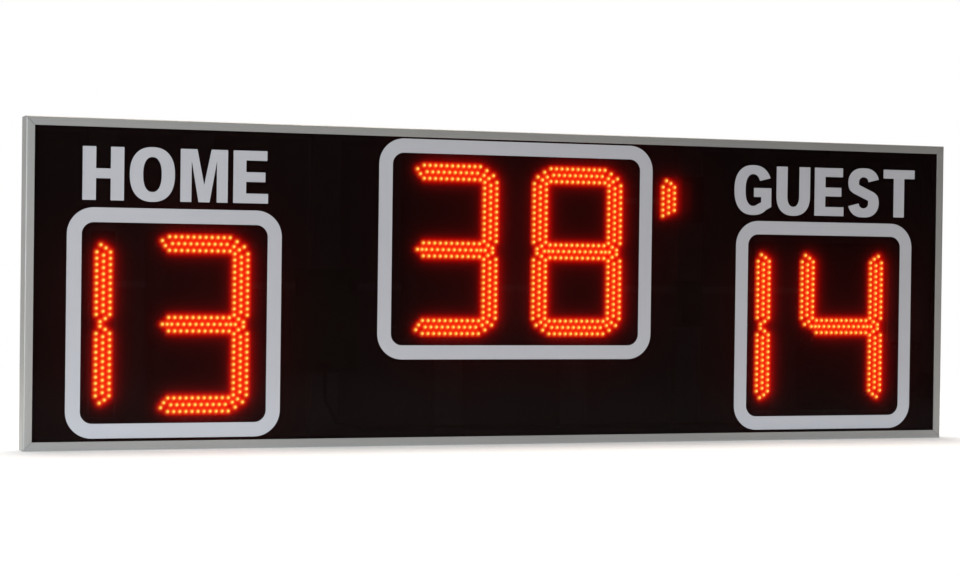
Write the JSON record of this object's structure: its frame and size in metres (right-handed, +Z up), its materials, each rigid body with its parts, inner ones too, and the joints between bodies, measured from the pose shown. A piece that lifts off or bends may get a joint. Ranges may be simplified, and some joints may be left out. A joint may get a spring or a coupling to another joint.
{
  "type": "electronic scoreboard",
  "caption": "Wall-hung electronic scoreboard: a mitred aluminium frame round a smoked panel, with seven-bar lamp digits for home score, time and guest score.",
  "frame": {"origin": "middle of the back of the board, on the wall plane", "axes": "+X to the right seen from the front, +Y from the front into the wall, +Z up"},
  "size_m": [1.7338, 0.045, 0.555],
  "materials": {
    "anodised_aluminium": "satin anodised, fine lengthwise grain",
    "zinc_steel": "zinc-plated sheet",
    "smoked_acrylic": "gloss smoked acrylic",
    "silver_foil": "cut vinyl foil",
    "foam_seal": "closed-cell foam",
    "lamp_board": "amber lamps on a black circuit board",
    "circuit_board": "green solder resist",
    "coated_steel": "grey powder coat",
    "black_plastic": "moulded, fine texture",
    "plated_brass": "plated",
    "fuse_glass": "clear tube, plated caps",
    "cable_sheath": "matt",
    "ribbon_lead": "grey flat lead"
  },
  "bodies": {
    "board": {"frame_bottom": "anodised_aluminium", "frame_left": "anodised_aluminium", "frame_top": "anodised_aluminium", "frame_right": "anodised_aluminium", "corner_key_bottom_left": "zinc_steel", "corner_key_bottom_right": "zinc_steel", "corner_key_top_right": "zinc_steel", "corner_key_top_left": "zinc_steel", "front_panel": "smoked_acrylic", "front_seal": "foam_seal", "home_outline": "silver_foil", "time_outline": "silver_foil", "guest_outline": "silver_foil", "lamp_board_home_tens": "lamp_board", "lamp_board_home_units": "lamp_board", "lamp_board_time_tens": "lamp_board", "lamp_board_time_units": "lamp_board", "lamp_board_guest_tens": "lamp_board", "lamp_board_guest_units": "lamp_board", "lamp_board_minute_mark": "lamp_board", "channel_home_tens": "zinc_steel", "channel_home_units": "zinc_steel", "channel_hanger_left": "zinc_steel", "channel_time_tens": "zinc_steel", "channel_time_units": "zinc_steel", "channel_hanger_right": "zinc_steel", "channel_guest_tens": "zinc_steel", "channel_guest_units": "zinc_steel", "hanging_strap_left": "zinc_steel", "hanging_strap_right": "zinc_steel", "rear_cover_left": "coated_steel", "rear_cover_centre": "coated_steel", "rear_cover_right": "coated_steel", "controller_board": "circuit_board", "radio_receiver": "circuit_board", "power_supply": "coated_steel", "terminal_block": "black_plastic", "inlet_body": "black_plastic", "inlet_pin_live": "plated_brass", "inlet_pin_neutral": "plated_brass", "inlet_pin_earth": "plated_brass", "ribbon_home_digits": "ribbon_lead", "ribbon_home_controller": "ribbon_lead", "ribbon_controller_time": "ribbon_lead", "ribbon_time_digits": "ribbon_lead", "ribbon_time_mark": "ribbon_lead", "ribbon_time_receiver": "ribbon_lead", "ribbon_receiver_guest": "ribbon_lead", "ribbon_guest_digits": "ribbon_lead", "mains_lead": "cable_sheath", "power_lead": "cable_sheath"},
    "power_rocker": {"power_rocker": "black_plastic"},
    "fuse_drawer": {"fuse_drawer": "black_plastic", "fuse": "fuse_glass"}
  },
  "joints": [
    {"name": "power_switch", "type": "hinge", "parent": "board", "child": "power_rocker", "pos_m": [0.8643, -0.0205, -0.1646], "axis": [0, 0, 1], "range_deg": [-16, 0]},
    {"name": "fuse_drawer_slide", "type": "slide", "parent": "board", "child": "fuse_drawer", "axis": [1, 0, 0], "range_m": [0, 0.011]}
  ]
}
